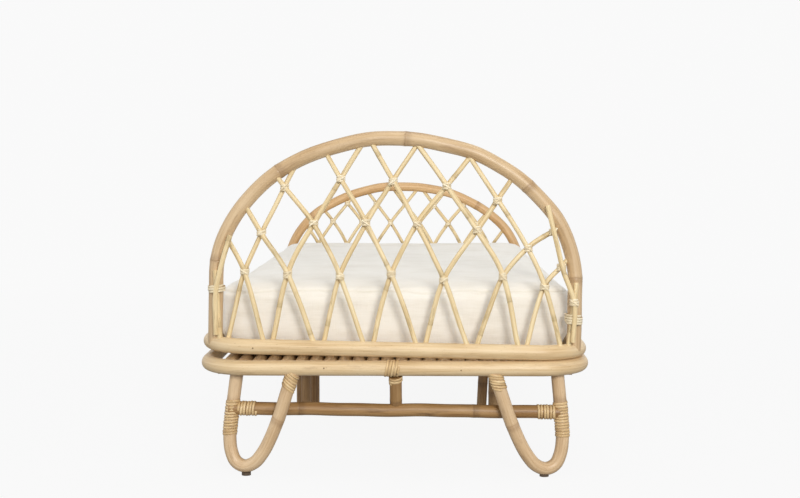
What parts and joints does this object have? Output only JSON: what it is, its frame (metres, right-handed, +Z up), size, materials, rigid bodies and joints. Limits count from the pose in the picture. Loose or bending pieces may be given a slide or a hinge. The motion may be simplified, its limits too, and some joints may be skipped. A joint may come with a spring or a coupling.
{
  "type": "doll bed",
  "caption": "Doll's cane bed with doubled bent-pole rails, arched lattice ends, hairpin legs, a slatted deck and a loose mattress.",
  "frame": {"origin": "middle of the footprint, on the floor that the feet stand on", "axes": "+X across the bed, +Y along it from the tall end to the low end, +Z up"},
  "size_m": [0.3046, 0.5736, 0.2658],
  "materials": {
    "cane_rail": "pale peeled cane pole, satin, long fine grain",
    "cane_hoop": "tan cane pole, satin, with growth nodes",
    "cane_rod": "thin yellow-cream cane rod, satin",
    "cane_leg": "cane pole, satin, bound with split peel at the joints",
    "cane_slat": "split cane, matt",
    "cotton": "off-white plain cotton, soft, slightly creased",
    "foot_rubber": "dark matt rubber"
  },
  "bodies": {
    "frame": {"low_glide_left": "foot_rubber", "low_glide_right": "foot_rubber", "low_hoop": "cane_hoop", "low_leg_left": "cane_leg", "low_leg_right": "cane_leg", "low_post": "cane_leg", "low_rod_left_1": "cane_rod", "low_rod_left_2": "cane_rod", "low_rod_left_3": "cane_rod", "low_rod_left_4": "cane_rod", "low_rod_left_5": "cane_rod", "low_rod_left_6": "cane_rod", "low_rod_left_7": "cane_rod", "low_rod_left_8": "cane_rod", "low_rod_right_1": "cane_rod", "low_rod_right_2": "cane_rod", "low_rod_right_3": "cane_rod", "low_rod_right_4": "cane_rod", "low_rod_right_5": "cane_rod", "low_rod_right_6": "cane_rod", "low_rod_right_7": "cane_rod", "low_rod_right_8": "cane_rod", "low_stretcher": "cane_leg", "lower_rail": "cane_rail", "mid_bearer": "cane_leg", "mid_leg_left_inner": "cane_leg", "mid_leg_left_near": "cane_leg", "mid_leg_left_outer": "cane_leg", "mid_leg_right_inner": "cane_leg", "mid_leg_right_near": "cane_leg", "mid_leg_right_outer": "cane_leg", "slat_deck": "cane_slat", "tall_glide_left": "foot_rubber", "tall_glide_right": "foot_rubber", "tall_hoop": "cane_hoop", "tall_leg_left": "cane_leg", "tall_leg_right": "cane_leg", "tall_post": "cane_leg", "tall_rod_left_1": "cane_rod", "tall_rod_left_2": "cane_rod", "tall_rod_left_3": "cane_rod", "tall_rod_left_4": "cane_rod", "tall_rod_left_5": "cane_rod", "tall_rod_left_6": "cane_rod", "tall_rod_left_7": "cane_rod", "tall_rod_left_8": "cane_rod", "tall_rod_left_9": "cane_rod", "tall_rod_right_0": "cane_rod", "tall_rod_right_1": "cane_rod", "tall_rod_right_2": "cane_rod", "tall_rod_right_3": "cane_rod", "tall_rod_right_4": "cane_rod", "tall_rod_right_5": "cane_rod", "tall_rod_right_6": "cane_rod", "tall_rod_right_7": "cane_rod", "tall_rod_right_8": "cane_rod", "tall_stretcher": "cane_leg", "upper_rail": "cane_rail"},
    "mattress": {"mattress": "cotton"}
  },
  "joints": [
    {"name": "mattress_lift", "type": "slide", "parent": "frame", "child": "mattress", "axis": [0, 0, 1], "range_m": [0, 0.16]}
  ]
}
